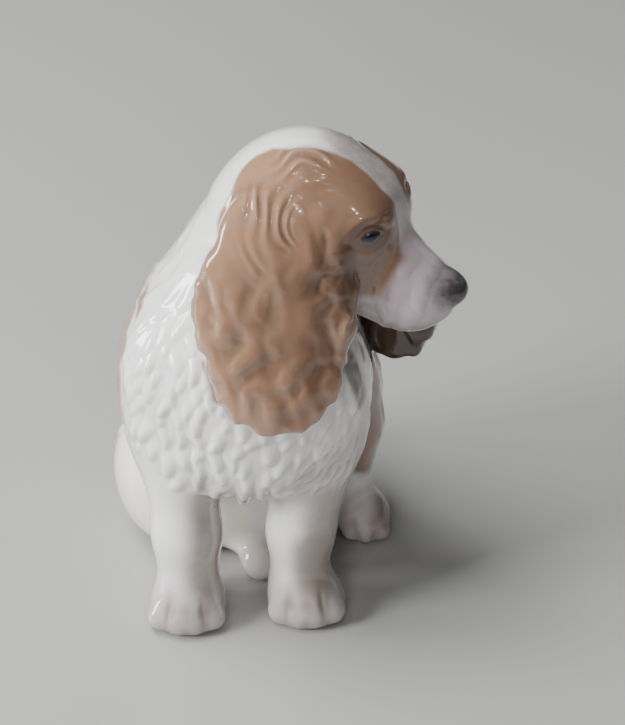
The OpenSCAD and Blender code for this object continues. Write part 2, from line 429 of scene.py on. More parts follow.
# The glaze: a clear coat that flowed in the kiln, level but for a faint ripple and a few pinholes.
flow = bpy.data.node_groups.new("flowed_glaze", "ShaderNodeTree")
sockets(flow, "INPUT", "Float", {"Ripple": 1.0, "Pinholes": 1.0})
sockets(flow, "OUTPUT", "Float", {"Height": None, "Roughness": None})
given = flow.nodes.new("NodeGroupInput").outputs
place = flow.nodes.new("ShaderNodeTexCoord").outputs["Object"]
ripple = math_node(flow, "MULTIPLY", noise(flow, place, 190, 2), given["Ripple"])
cells = flow.nodes.new("ShaderNodeTexVoronoi")
cells.inputs["Scale"].default_value = 240
flow.links.new(place, cells.inputs["Vector"])
pits = math_node(flow, "SUBTRACT", 0.06, cells.outputs["Distance"], True)
pits = math_node(flow, "MULTIPLY", pits, given["Pinholes"])
out = flow.nodes.new("NodeGroupOutput")
flow.links.new(math_node(flow, "SUBTRACT", ripple, pits), out.inputs["Height"])
dull = math_node(flow, "MULTIPLY", noise(flow, place, 90, 3), 0.08)
flow.links.new(math_node(flow, "ADD", dull, 0.12), out.inputs["Roughness"])


def new_material(name):
    """A material, the tree of its nodes, and its shader."""
    material = bpy.data.materials.new(name)
    material.use_nodes = True
    return material, material.node_tree, material.node_tree.nodes["Principled BSDF"]


def set_inputs(node, values):
    for name, value in values.items():
        node.inputs[name].default_value = value


def group_node(tree, group, values):
    """One use of a node group, with its own values."""
    node = tree.nodes.new("ShaderNodeGroup")
    node.node_tree = group
    set_inputs(node, values)
    return node


def bump_on(tree, shader, height, strength, depth):
    """Fine relief of the skin, up to that depth in millimetres."""
    bump = tree.nodes.new("ShaderNodeBump")
    set_inputs(bump, {"Strength": strength, "Distance": depth * MM})
    tree.links.new(height, bump.inputs["Height"])
    tree.links.new(bump.outputs["Normal"], shader.inputs["Normal"])


def glazed(name, mottle=0.3, hollows=0.7, ridges=0.45, ripple=1.0, **tones):
    """A clear glaze over sprayed colours. Tones replace the usual colours of the palette."""
    material, tree, shader = new_material(name)
    set_inputs(shader, {"IOR": 1.5, "Coat Weight": 1.0, "Coat Roughness": 0.018, "Coat IOR": 1.52})
    set_inputs(shader, {"Subsurface Weight": 0.12, "Subsurface Radius": (0.9, 0.6, 0.4),
                        "Subsurface Scale": 0.0015})
    paint = group_node(tree, underglaze, {"Mottle": mottle, "Shade In Hollows": hollows, "Ridges": ridges})
    set_inputs(paint, {tone.replace("_", " ").title(): (*value, 1) for tone, value in tones.items()})
    tree.links.new(paint.outputs["Color"], shader.inputs["Base Color"])
    glaze = group_node(tree, flow, {"Ripple": ripple})
    tree.links.new(glaze.outputs["Roughness"], shader.inputs["Roughness"])
    bump_on(tree, shader, glaze.outputs["Height"], 0.5, 0.12)
    return material


def in_scene(name, data):
    """An object with that mesh, lamp or camera, linked to the scene."""
    made = bpy.data.objects.new(name, data)
    bpy.context.scene.collection.objects.link(made)
    return made


castings = {}


def casting(node, material, refined=False):
    """The piece for one casting. Its mesh is filled in when the castings are joined."""
    piece = in_scene(node + "_casting", bpy.data.meshes.new(node + "_casting"))
    piece.data.materials.append(material)
    castings[node] = (piece, refined)
    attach(piece, "root")
    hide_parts(node)


white_glaze = glazed("white_glaze")
casting("torso", white_glaze)

# ---------------------------------------------------------------- Haunches
# The bent hind legs are low bulges on the flanks, cast apart and luted on. The left knee stands
# up behind the foreleg, and the right thigh lies flat on the ground.

right_thigh = box_point("haunch_right", 0.5, 0.5, 0)
clay["haunch_right"] = set_on(right_thigh, [
    (Ball((2.8, 1.3, 21), (19, 24.5, 24)), 7),
    (Ball((7.8, -8.6, 15), (15, 15, 14)), 6),
])
left_thigh = box_point("haunch_left", 0.5, 0.5, 0.5)
clay["haunch_left"] = set_on(left_thigh, [
    (Ball((-3.4, 1.5, 8.6), (16, 20, 25)), 7),
    (Limb((0.6, -2.5, -0.4), (2.6, -1.5, -21.4), 10.5, 5.8), 7),
])
spray("tan", Patch([Ball(left_thigh + (6, 2, 10), (17, 22, 26))], 54, 1.5), 0, 4, 0.95)
spray("bare", Limb(left_thigh + (4, -6, -25), left_thigh + (10, -8, -34), 9, 12), 0, 6, 0.95)

cream_glaze = glazed("cream_glaze", porcelain=(0.88, 0.845, 0.77), pooled_glaze=(0.55, 0.53, 0.47),
                     ripple=1.2)
tan_glaze = glazed("tan_glaze", mottle=0.45)
casting("haunch_right", cream_glaze)
casting("haunch_left", tan_glaze)

# ---------------------------------------------------------------- Tail
# A short docked tail, pressed solid and stuck on low at the back.

tail_root = box_point("tail", 0.4, 0, 0.35)
clay["tail"] = set_on(tail_root, [(Limb((-0.5, -5, 0), (3.5, 8, 3), 7.5, 5), 5)])
casting("tail", white_glaze)

# ---------------------------------------------------------------- Forelegs
# Two straight solid castings, stuck to the chest under the bib. Each paw has four toes marked
# with soft creases, and grey-brown is sprayed between the toes, and down the inner side as painted shade.


def toes(middle, heading, spread, radius):
    """Four rolls of clay fanned round the front of a paw."""
    rolls = []
    for place_across in (-1.45, -0.5, 0.5, 1.45):
        angle = radians(heading + place_across * 22)
        lead = 8.4 - 1.2 * abs(place_across)
        tip = middle + (spread * place_across + 2 * sin(angle), -lead * cos(angle * 0.6), 3.9)
        back = middle + (spread * place_across * 0.72, -1.5, 8.6)
        rolls.append((Limb(back, tip, radius * 0.9, radius), 1.8))
    return rolls


def creases(middle, heading, spread):
    """The three grooves between the toes, with grey-brown settled in them."""
    for place_across in (-0.97, 0, 0.97):
        angle = radians(heading + place_across * 22)
        top = middle + (spread * place_across * 0.8, -3.5, 13)
        bend = middle + (spread * place_across + 1.2 * sin(angle), -8.5, 9)
        tip = middle + (spread * place_across * 1.05 + 2 * sin(angle), -11.5 + abs(place_across), 1.5)
        tooling.append(stroke([top, bend, tip], 0.85, -0.55))
        spray("grey", Limb(top, bend, 0.3, 0.6), 0.2, 2.2, 0.6)
        spray("grey", Limb(bend, tip, 0.6, 0.4), 0.2, 2.0, 0.6)


right_paw = box_point("foreleg_right", 0.5, 0.5, 0)
clay["foreleg_right"] = set_on(right_paw, [
    (Limb((-0.7, 11.3, 54), (0.6, 2.3, 28), 12.5, 9.7), 8),
    (Limb((0.6, 2.3, 28), (0.9, -0.2, 11), 9.7, 9.4), 5),
    (Ball((0.5, -2.7, 6.5), (10, 11.5, 8.2)), 5),
    (Ball((0.3, -3.7, 4), (11.2, 11.2, 6)), 4),
]) + toes(right_paw + (0.3, -2.7, 0), 0, 4.7, 3.9)
creases(right_paw + (0.3, -3.7, 0), 0, 4.7)
left_paw = box_point("foreleg_left", 0.5, 0.5, 0)
clay["foreleg_left"] = set_on(left_paw, [
    (Limb((1.2, 9.3, 56), (-3.2, 2.3, 28), 13.5, 9.6), 8),
    (Limb((-3.2, 2.3, 28), (-3.6, 0.8, 11), 9.6, 9), 5),
    (Ball((-2.2, -1.7, 6.5), (10, 11.5, 8.2)), 5),
    (Ball((-1, -2.7, 4), (11.6, 11.2, 6)), 4),
]) + toes(left_paw + (-1.6, -1.7, 0), 6, 4.7, 3.9)
creases(left_paw + (-1.8, -2.7, 0), 6, 4.7)

# The grey run down each leg, on the inner side of the right one, is painted shade.
for paw, inner in ((right_paw, 1), (left_paw, 0.35)):
    spray("blush", Ball(paw + (0, -3, 0), (15, 16, 12)), 0, 10, 0.6)
    spray("grey", Ball(paw + (0, -8, 1), (13, 9, 8)), 0, 8, 0.45)
    spray("blush", Limb(paw + (8, 0, 50), paw + (8, -4, 18), 3, 4), 0.5, 8, 0.4)
    spray("grey", Limb(paw + (8 * inner, -2, 44), paw + (8 * inner, -8, 18), 2.5, 3.5), 0.5, 6, 0.7)
spray("grey", Limb(left_paw + (0, -7, 27), left_paw + (2, -7.5, 17), 2.5, 3.2), 0.6, 6, 0.85)

casting("foreleg_right", white_glaze)
casting("foreleg_left", white_glaze)

# ---------------------------------------------------------------- Hind feet
# The left hind foot stands beside the rump, and the right one pokes out between the forelegs.
# Both are small solid castings from moulds of their own, stuck on under the haunches.

left_heel = box_point("hind_foot_left", 0.5, 0.5, 0)
clay["hind_foot_left"] = set_on(left_heel, [
    (Limb((-2.3, 0, 18), (0.2, -2, 9), 5.6, 7), 4),
    (Ball((1.7, -1, 5.6), (8.6, 11.5, 7.6), 12), 4),
    (Ball((2.2, -1.8, 4), (8, 7.4, 5.2)), 3),
])
for place_across in (-1, 0, 1):
    back = left_heel + (0.9 + 4.2 * place_across, -3.5, 7.6)
    tip = left_heel + (2.9 + 4.6 * place_across, -9.4 + 1.4 * abs(place_across), 3.4)
    clay["hind_foot_left"].append((Limb(back, tip, 3, 3.1), 1.4))
for place_across in (-0.5, 0.5):
    back = left_heel + (0.9 + 4.4 * place_across, -4.5, 12)
    bend = left_heel + (2.2 + 4.6 * place_across, -9.5, 8)
    tip = left_heel + (3.1 + 4.8 * place_across, -12.5, 1.5)
    tooling.append(stroke([back, bend, tip], 0.9, -0.6))
    spray("grey", Limb(back, bend, 0.4, 0.6), 0.2, 2, 0.65)
    spray("grey", Limb(bend, tip, 0.6, 0.4), 0.2, 2, 0.65)
spray("blush", Ball(left_heel + (2, -3, 4), (13, 16, 12)), 0, 7, 0.8)
spray("grey", Ball(left_heel + (8, -6, 4), (4, 6, 6)), 0, 7, 0.65)
spray("brown", Ball(left_heel + (9, -5, 8), (2, 3, 3)), 0, 5, 0.45)
right_hock = box_point("hind_foot_right", 0.5, 0.5, 0)
clay["hind_foot_right"] = set_on(right_hock, [
    (Ball((-4.1, 11.6, 12), (9.5, 9, 10)), 4),
    (Ball((-1.5, 7.5, 17), (10.5, 8.5, 13)), 4),
    (Limb((-0.1, 9.6, 9), (4.3, -2.4, 5.4), 7.5, 5.4), 3),
    (Ball((4.9, -4.4, 4.6), (5.6, 6.5, 5)), 3),
])
spray("brown", Limb(right_hock + (6.6, 9, 18), right_hock + (6.2, 3, 4), 0.5, 0.8), 0.3, 2.6, 0.6)
spray("blush", Ball(right_hock + (4, -3, 5), (6, 9, 6)), 0, 5, 0.3)

casting("hind_foot_left", white_glaze)
casting("hind_foot_right", cream_glaze)

# ---------------------------------------------------------------- Head
# The head is cast apart and stuck on the neck, turned to the dog's left and bowed a little.
# Lids, nostrils and mouth are tooled by hand, and the eyes and nose painted with a brush.

turn, nod = radians(20), radians(20)
skull = box_point("head", 0.5, 0.5, 0.5) + (-1.4, -5, 5.3)
ahead = np.array((cos(turn) * cos(nod), -sin(turn) * cos(nod), -sin(nod)))
to_left = np.array((sin(turn), cos(turn), 0))
head_axes = np.stack([ahead, to_left, np.cross(ahead, to_left)])


def in_head(points):
    """Points in the head's own axes: ahead, to its left and up to its crown."""
    return (points - skull) @ head_axes.T


def from_head(points):
    return skull + np.asarray(points, float) @ head_axes


class OnHead:
    """A form given in the head's own axes."""

    def __init__(self, form):
        self.form = form
        self.middle = from_head(form.middle)
        self.reach = form.reach

    def __call__(self, points):
        return self.form(in_head(points))


head_forms = [
    (Ball((0, 0, 1), (25, 20.5, 21.5)), 8),
    (Ball((2, 0, -20), (15, 12, 10)), 8),
    (Limb((16, 0, -1), (40, 0, -5.2), 10.5, 6.6), 6),
    (Ball((41, 0, -9.8), (7, 6.8, 7)), 4),
    (Ball((26, 0, -20), (13, 5.8, 5)), 3),
    (Ball((45, 0, -3.6), (5, 5.2, 4.3)), 2.5),
]
for side in (-1, 1):
    head_forms.insert(1, (Ball((30, side * 5.2, -11.6), (15.5, 7.8, 9.8)), 5))
    head_forms.insert(1, (Ball((8, side * 4, -10), (19, 14, 14)), 7))
    head_forms.insert(1, (Ball((13.5, side * 8.5, 6), (10.5, 9.5, 10.5)), 7))
clay["head"] = [(OnHead(form), blend) for form, blend in head_forms]

eye_middle = np.array((19.9, -15.5, 10.2))
eye_forward = unit((4.8, 5.3, 2.7))
eye_up = np.array((-0.9, 1.7, 4.8))
eye_up = unit(eye_up - (eye_up @ eye_forward) * eye_forward)
eye_out = np.cross(eye_forward, eye_up)
eye_half_height = 1.55
lid_radius = 4.2


def eye_place(q):
    """Each point's place at the nearer eye: towards the nose, towards the brow, and out."""
    folded = q * (1, -1, 1) * np.where(q[:, 1:2] > 0, 1, (1, -1, 1)) - eye_middle
    return folded @ eye_forward, folded @ eye_up, folded @ eye_out


def lid_gap(a, b):
    """Distance outside the almond opening between the lids."""
    drop = lid_radius - eye_half_height
    return np.maximum(np.hypot(a, b + drop), np.hypot(a, b - drop)) - lid_radius


def eye_tooling(q):
    a, b, c = eye_place(q)
    gap = lid_gap(a, b)
    near = ease((10 - np.hypot(a, b)) / 4) * ease((7 - np.abs(c)) / 3)
    ball = 0.55 * (1 - (a / 4.2) ** 2 - (b / 2.8) ** 2) - 0.5
    upper = ease(b / 2 + 0.4)
    lid = (0.08 + 0.24 * upper) * np.exp(-(((gap - 0.6) / 0.55) ** 2))
    fold = -0.14 * upper * np.exp(-(((gap - 1.9) / 0.5) ** 2))
    bag = -0.12 * (1 - upper) * np.exp(-(((gap - 2.6) / 0.7) ** 2))
    brow = 0.42 * upper * np.exp(-(((gap - 4) / 1.6) ** 2))
    hollow = -0.7 * np.exp(-((np.maximum(gap, 0) / 2.6) ** 2))
    inside = ease(0.5 - gap / 0.5)
    return near * (inside * ball + (1 - inside) * (lid + fold + bag + brow + hollow))


nose_middle = np.array((46.2, 0, -2.6))


def nose_gap(q):
    """Distance outside the black pad of the nose."""
    local = (q - nose_middle) / (9.2, 9.5, 5.4)
    lean = local[:, 0] + 0.25 * local[:, 2]
    return (np.sqrt(lean**2 + local[:, 1] ** 2 + local[:, 2] ** 2) - 1) * 5


def nose_tooling(q):
    side = np.abs(q[:, 1])
    front = ease((q[:, 0] - 40) / 4)
    pad = 0.12 * ease(0.5 - nose_gap(q) / 1.2)
    from_nostril = np.stack([q[:, 0] - 47, side - 3.3, q[:, 2] + 3.2], 1) / (1.5, 1.3, 1)
    nostril = -0.55 * np.exp(-(from_nostril**2).sum(1))
    slit = -0.35 * np.exp(-((side / 0.5) ** 2)) * ease((-2.2 - q[:, 2]) / 2) * ease((q[:, 2] + 15) / 4)
    return front * (pad + nostril + slit)


def on_head(height_at):
    return lambda points: height_at(in_head(points))


# Grooves under the brow, round the nostril's wing, along the mouth and down the cheek.
face_lines = [
    ([(15.5, -17, 12.6), (19, -13.8, 14), (20.3, -9.6, 15.2), (21.8, -6, 14.2)], 0.9, -0.42),
    ([(44, -5.6, -4.4), (41.5, -7, -5.6), (39.5, -7.6, -5.2)], 0.8, -0.15),
    ([(47, -2, -8.6), (43, -6.8, -13), (36, -10.6, -18)], 0.8, -0.2),
    ([(24, -15, 3), (25.5, -14.6, -3), (22.5, -16.5, -9)], 2.4, -0.2),
]
head_tooling = [eye_tooling, nose_tooling]
for side in (1, -1):
    for line, width, height in face_lines:
        head_tooling.append(stroke(line * np.array((1, side, 1)), width, height))
tooling += [on_head(height_at) for height_at in head_tooling]


def head_spray(colour, form, reach, fade, strength):
    spray(colour, OnHead(form), reach, fade, strength)


# Tan covers each side of the head. It stops along a line from crown to ear, and a white blaze
# and muzzle are left bare.
crown_edge = np.array((0.5, -2.2, 22.6))
crown_facing = unit((-0.1, 0.91, -0.4))


class TanSide:
    """The side of the head in front of a slanting line down from the crown."""

    middle = skull
    reach = 60

    def __init__(self, side):
        self.side = side

    def __call__(self, points):
        q = in_head(points) * (1, self.side, 1)
        behind = (q - crown_edge) @ crown_facing
        below = -28 - q[:, 2]
        beyond = q[:, 0] - 27.6
        across = q[:, 1] - 1
        return np.maximum.reduce([behind + 0.7 * swell(q, 6, 55), below, 0.45 * beyond, across])


spray("tan", TanSide(1), 0, 1.6, 1)
spray("tan", TanSide(-1), 0, 1.6, 1)
blaze = [(-14, 2, 19), (0.5, 2, 22.5), (8, 2, 21), (15.5, 1.2, 18.4), (22, 1.6, 13.4), (26, 2.4, 8.5)]
blaze_width = [8.5, 5.2, 4.5, 4.3, 2.6, 3.2]
for a, b, wide, narrow in zip(blaze[:-1], blaze[1:], blaze_width[:-1], blaze_width[1:]):
    head_spray("bare", Limb(a, b, wide, narrow), 0, 1.5, 1)
head_spray("bare", Ball((41, 0, -5), (14.5, 14, 10)), 0, 3, 1)
head_spray("bare", Ball((35, 0, -17), (15, 16, 12)), 0, 4, 1)
head_spray("blush", Ball((39, 0, -9), (16, 15, 17)), 0, 10, 0.95)
# Grey under the muzzle is painted shade.
head_spray("grey", Ball((40, 0, -20), (14, 12, 5)), 0, 8, 0.3)
head_spray("blush", Limb((0, 2, 23), (26, 2.4, 9), 4, 4), 0, 5, 0.55)
# Brown on the cheek under the eye, over the side of the forehead and down the groove before the ear, and
# grey along the brow crease and under the lip, are painted shade.
for side in (-1, 1):
    head_spray("brown", Limb((20, side * 16, 6), (19, side * 19, -8), 4, 6), 0, 9, 0.58)
    head_spray("brown", Limb((4, side * 12, 19), (19, side * 13, 12), 6, 6), 0, 12, 0.5)
    head_spray("brown", Limb((14, side * 20, 8), (19, side * 20, -12), 1, 2), 0, 6, 0.7)
    head_spray("brown", Limb((21.5, side * 13, 8.2), (25, side * 11, 4), 0.5, 1), 0, 3.5, 0.35)
    head_spray("brown", Ball((19.5, side * 16, 9.8), (4, 3.5, 2.4)), 0, 3.2, 0.5)
    head_spray("grey", Limb((14, side * 18, 13.5), (21, side * 8, 15.8), 0.6, 0.6), 0, 2.5, 0.35)
    head_spray("grey", Limb((45, side * 4, -14), (34, side * 11, -19), 1.5, 1.5), 0, 5, 0.35)
# Brown under the chin is painted shade.
head_spray("brown", Ball((24, 0, -28), (16, 12, 4)), 0, 6, 0.25)

# The brush work: navy iris and black pupil between dark lids, and a soft black nose.
brushed = bpy.data.node_groups.new("brushed_features", "ShaderNodeTree")
sockets(brushed, "INPUT", "Color", {
    "Color": None, "Iris": (0.004, 0.010, 0.034, 1), "Eye White": (0.018, 0.022, 0.032, 1),
    "Line": (0.035, 0.026, 0.028, 1), "Nose": (0.022, 0.021, 0.022, 1),
})
sockets(brushed, "INPUT", "Float", {"Iris Radius": 2.4})
sockets(brushed, "OUTPUT", "Color", {"Color": None})
brush_maths = partial(math_node, brushed)
given = brushed.nodes.new("NodeGroupInput").outputs
place = brushed.nodes.new("ShaderNodeTexCoord").outputs["Object"]
at_eye = brushed.nodes.new("ShaderNodeSeparateXYZ")
brushed.links.new(mask_of(brushed, "at_eye").outputs["Vector"], at_eye.inputs[0])
a, b, near_eye = at_eye.outputs


def length_of(x, y):
    squares = [brush_maths("MULTIPLY", value, value) for value in (x, y)]
    return brush_maths("SQRT", brush_maths("ADD", *squares), 0.0)


def inside_of(gap, edge, soft):
    """1 where the gap is below the edge, fading out over the soft width."""
    share = brush_maths("DIVIDE", brush_maths("SUBTRACT", edge, gap), soft)
    return brush_maths("ADD", share, 0.5, True)


drop = lid_radius - eye_half_height
upper_gap = length_of(a, brush_maths("ADD", b, drop))
lower_gap = length_of(a, brush_maths("SUBTRACT", b, drop))
gap = brush_maths("SUBTRACT", brush_maths("MAXIMUM", upper_gap, lower_gap), lid_radius)
wobble = brush_maths("MULTIPLY", noise(brushed, place, 900, 2), 0.35)
from_iris = length_of(brush_maths("SUBTRACT", a, 0.25), brush_maths("SUBTRACT", b, 0.25))
from_iris = brush_maths("ADD", from_iris, wobble)
iris_share = inside_of(from_iris, given["Iris Radius"], 0.5)
pupil_radius = 1.25
opening = mix_colour(brushed, iris_share, given["Eye White"], given["Iris"])
opening = mix_colour(brushed, inside_of(from_iris, pupil_radius, 0.7), opening, (0.004, 0.004, 0.007, 1))
lid_line = brush_maths("ABSOLUTE", gap, 0.0)
line_width = brush_maths("ADD", 0.2, brush_maths("MULTIPLY", b, 0.11))
lid_line = brush_maths("MULTIPLY", inside_of(lid_line, line_width, 0.5), near_eye)
in_opening = brush_maths("MULTIPLY", inside_of(gap, 0.0, 0.25), near_eye)
painted = mix_colour(brushed, in_opening, given["Color"], opening)
painted = mix_colour(brushed, brush_maths("MULTIPLY", lid_line, 0.85), painted, given["Line"])
nose_mask = mask_of(brushed, "nose_gap").outputs["Fac"]
ragged = brush_maths("MULTIPLY", noise(brushed, place, 520, 3), 2.0)
nose_edge = brush_maths("SUBTRACT", brush_maths("ADD", nose_mask, ragged), 1.0)
nose_share = brush_maths("MULTIPLY", inside_of(nose_edge, -0.5, 3.4), 0.93)
painted = mix_colour(brushed, nose_share, painted, given["Nose"])
out = brushed.nodes.new("NodeGroupOutput")
brushed.links.new(painted, out.inputs["Color"])

head_glaze = glazed("painted_head_glaze", mottle=0.5, hollows=0.8, ridges=0.5, ripple=0.7)
tree = head_glaze.node_tree
features = group_node(tree, brushed, {})
shader = tree.nodes["Principled BSDF"]
paint = shader.inputs["Base Color"].links[0].from_socket
tree.links.new(paint, features.inputs["Color"])
tree.links.new(features.outputs["Color"], shader.inputs["Base Color"])
casting("head", head_glaze, refined=True)

# ---------------------------------------------------------------- Ears
# Long flat leaves of clay with rolled front edges and wavy feathering, pressed in a mould and
# stuck to the head. Tan is sprayed thick in their hollows and thin on their ridges; the darker hollows are
# partly painted shade.


class Leaf:
    """A hanging leaf of clay: round stations (across, down, radius) joined, crowned and curved."""

    rim = 2.0
    station_blend = 6
    wave_reach = 1.5
    crown_reach = 7

    def __init__(self, root, across, down, stations, thick, crown, bend, tuck, wave):
        self.root = np.array(root, float)
        self.down = unit(down)
        across = np.array(across, float)
        self.across = unit(across - (across @ self.down) * self.down)
        self.out = np.cross(self.down, self.across)
        self.stations = stations
        self.thick = thick
        self.crown = crown
        self.bend = bend
        self.tuck = tuck
        self.wave = wave
        self.middle = self.root + 18 * self.down
        self.reach = 52

    def place(self, points):
        local = points - self.root
        return local @ self.across, local @ self.down, local @ self.out

    def sag(self, u, v):
        """How far the leaf curves in towards the neck at its sides, and into the skull at its top."""
        return self.bend * u**2 + self.tuck * np.minimum(v - 4, 0) ** 2

    def edge_gap(self, u, v):
        gap = no_clay(u)
        for (u0, v0, r0), (u1, v1, r1) in zip(self.stations[:-1], self.stations[1:]):
            du, dv = u1 - u0, v1 - v0
            share = np.clip(((u - u0) * du + (v - v0) * dv) / (du * du + dv * dv), 0, 1)
            away = np.hypot(u - u0 - share * du, v - v0 - share * dv)
            gap = melt(gap, away - r0 - (r1 - r0) * share, self.station_blend)
        return gap + self.wave(u, v) * np.exp(np.minimum(gap, 0) / self.wave_reach)

    def __call__(self, points):
        u, v, w = self.place(points)
        gap = self.edge_gap(u, v)
        w = w + self.sag(u, v)
        half = self.thick + self.crown * (1 - np.exp(np.minimum(gap, 0) / self.crown_reach))
        x = gap + self.rim
        y = np.abs(w) - half + self.rim
        return np.hypot(np.maximum(x, 0), np.maximum(y, 0)) + np.minimum(np.maximum(x, y), 0) - self.rim

    def at(self, u, v, w=0.0):
        return self.root + u * self.across + v * self.down + (w - self.sag(u, v)) * self.out


class InnerFace:
    """The skin of a leaf on the side its out direction points to: on the left ear, the inner side."""

    def __init__(self, leaf):
        self.leaf = leaf
        self.middle = leaf.middle
        self.reach = leaf.reach

    def __call__(self, points):
        u, v, w = self.leaf.place(points)
        return np.maximum(self.leaf(points), 1 - w - self.leaf.sag(u, v))


def scallops(depth, low_edge):
    """The wavy lower edge, as a change in the leaf's outline."""

    def wave(u, v):
        angle = np.arctan2(v - 20, u)
        lower = 1 / (1 + np.exp((low_edge - v) / 8))
        waves = 0.7 * np.sin(19 * angle + 1.5 * np.sin(3 * angle)) + 0.35 * np.sin(31 * angle + 1)
        return depth * waves * (0.1 + 0.9 * lower)

    return wave


right_root = box_point("ear_right", 0.5, 0.5, 1) + (-0.5, 6.2, -14.6)
right_leaf = Leaf(right_root, (1, 0.02, 0), (0, -16, -47),
                  [(0.5, -3, 15.5), (-1, 16, 20.5), (1, 33, 19.5)], 4.2, 2.2, 0.011, 0.013, scallops(1, 19))
front_roll = [(9, -16, 1, 3), (14, -10, 2, 4.3), (17.5, 0, 1.2, 5), (19, 12, 1, 4.6),
              (19, 22, 1.5, 4.4), (17.5, 29, 1, 3.4)]
clay["ear_right"] = [(right_leaf, 2.2)] + chain(
    [(*right_leaf.at(u, v, w), radius) for u, v, w, radius in front_roll], 2.2)
left_root = box_point("ear_left", 0.35, 0.35, 1) + (0.3, -2.5, -13.4)
left_leaf = Leaf(left_root, (0.9, -0.35, 0), (9, -1, -46),
                 [(-3, 1, 7), (-1, 22, 12), (2, 42, 14)], 3.6, 1.5, 0.012, 0, scallops(0.8, 30))
clay["ear_left"] = [(left_leaf, 1.2)]


def feathering(leaf, hollows, seed, height, centre):
    """Wavy hanging locks: soft bumps drawn out down the leaf, with a few deep hollows."""

    def height_at(points):
        u, v, w = leaf.place(points)
        gap = leaf.edge_gap(u, v)
        near = ease((1.5 - gap) / 2) * ease((12 - np.abs(w + leaf.sag(u, v))) / 5)
        flat = np.stack([u, v * 0.7], 1)
        bent = flat + 0.8 * np.stack([swell(flat, 6, seed), swell(flat, 7, seed + 1)], 1)
        locks = 0.6 * np.tanh(1.2 * swell(bent, 3.7, seed + 2)) + 0.5 * swell(bent, 7.5, seed + 4)
        curls = 0.6 - np.abs(swell(bent, 3.8, seed + 3))
        calm = ease(1.25 - np.hypot((u - centre[0]) / centre[2], (v - centre[1]) / centre[3]))
        rough = 1 - 0.62 * calm
        top = ease((v + 4) / 13)
        total = height * rough * (0.12 + 0.88 * top) * (locks + 0.12 * np.clip(curls, -1, 1))
        for hollow_u, hollow_v, wide, long, depth in hollows:
            total -= depth * np.exp(-(((u - hollow_u) / wide) ** 2) - ((v - hollow_v) / long) ** 2)
        return near * total

    return height_at


right_hollows = [(-6.5, 7, 3.2, 4, 0.7), (-1, 15, 3.4, 5.5, 0.9), (-9, 25, 3.4, 6, 0.9),
                 (-2, 31, 4, 6, 1), (14.5, 28, 3.4, 6, 0.8), (4, -3, 3, 5, 0.5)]
tooling.append(feathering(right_leaf, right_hollows, 150, 0.72, (5, 18, 11, 15)))
tooling.append(feathering(left_leaf, [(0, 20, 4, 8, 0.5)], 31, 0.7, (0, 10, 6, 8)))


def swept_hair(leaf, hook_u, hook_v, height):
    """Arcs of hair swept back from the crown round the hook at the ear's root, and down the ear."""

    def height_at(points):
        u, v, w = leaf.place(points)
        flat = np.stack([u, v], 1)
        reach = np.hypot(u - hook_u, v - hook_v)
        angle = np.degrees(np.arctan2(hook_v - v, hook_u - u))
        ring = ease((reach - 5) / 5) * ease((25 - reach) / 7)
        near = ring * ease((angle + 62) / 30) * ease((128 - angle) / 35)
        outside = ease((16 - np.abs(w)) / 6)
        waves = np.sin(2 * pi * reach / 3.4 + 1.9 * swell(flat, 6, 41))
        return height * near * outside * (0.7 + 0.5 * swell(flat, 7, 42)) * waves

    return height_at


tooling.append(swept_hair(right_leaf, 12, -9, 0.28))
tooling.append(swept_hair(left_leaf, 6, -3, 0.3))

# Curled locks stand out along the front edge, under the hook of hair at the ear's root, and a
# few more along the back edge.
curled = [
    ([(11, -15, 3), (16, -12, 5), (18.5, -5, 6), (17, 2, 6)], 1.9, 0.8),
    ([(12.5, -11, 3), (14.5, -7, 5), (14.5, 0, 6), (12.5, 5, 5)], 1.2, -0.9),
    ([(21, 0, 4), (17.5, 5, 6), (17, 10, 6), (20, 14, 5)], 1.5, 0.8),
    ([(16, 13, 6), (13, 10, 5), (14, 6, 5), (17.5, 7.5, 6)], 1.1, -0.7),
    ([(21, 12, 4), (17.5, 16, 6), (15, 20, 5)], 1.4, 0.6),
    ([(20.5, 17, 4), (18.5, 20.5, 6), (19, 25, 5)], 0.9, -0.7),
    ([(8, -8, 4), (10.5, 0, 5), (9, 8, 5)], 1.8, 0.5),
    ([(-15, 4, 4), (-11.5, 9, 5), (-13.5, 15, 5)], 1.8, 0.6),
    ([(-18, 16, 4), (-14.5, 20, 5), (-16.5, 26, 5)], 1.8, 0.6),
]
for lock, width, height in curled:
    tooling.append(stroke([right_leaf.at(u, v, w) for u, v, w in lock], width, 0.7 * height))

spray("tan", right_leaf, 0.5, 1.2, 1)
spray("tan", left_leaf, 0.5, 1.2, 1)
for form, blend in clay["ear_right"][1:]:
    spray("tan", form, 0.3, 1.2, 1)
# Brown clouds over the right ear's hollows, partly painted shade.
brown_clouds = [(-5, 28, 7, 0.25), (-2, 12, 6, 0.2), (14, 29, 6, 0.3), (15, 8, 5, 0.25), (3, 38, 8, 0.2)]
for u, v, wide, strength in brown_clouds:
    spray("brown", Ball(right_leaf.at(u, v, 5), wide), 0, 9, strength)
# The far ear lies on the shaded side: the brown on its inner face and its darker tan and brown are painted
# shade.
spray("brown", InnerFace(left_leaf), 0.5, 1.8, 0.9)

right_ear_glaze = glazed("right_ear_glaze", mottle=0.5, hollows=0.8, ridges=0.5)
left_ear_shaded_glaze = glazed("dark_tan_glaze", mottle=0.5, hollows=0.8, tan=(0.27, 0.14, 0.078),
                        brown=(0.035, 0.019, 0.014))
casting("ear_right", right_ear_glaze, refined=True)
casting("ear_left", left_ear_shaded_glaze)

# ---------------------------------------------------------------- Joining and fettling
# The castings are joined with slip, and the joints are sponged smooth before the firing. So one
# surface runs over all of them, and each casting is the share of it that lies on its own clay.

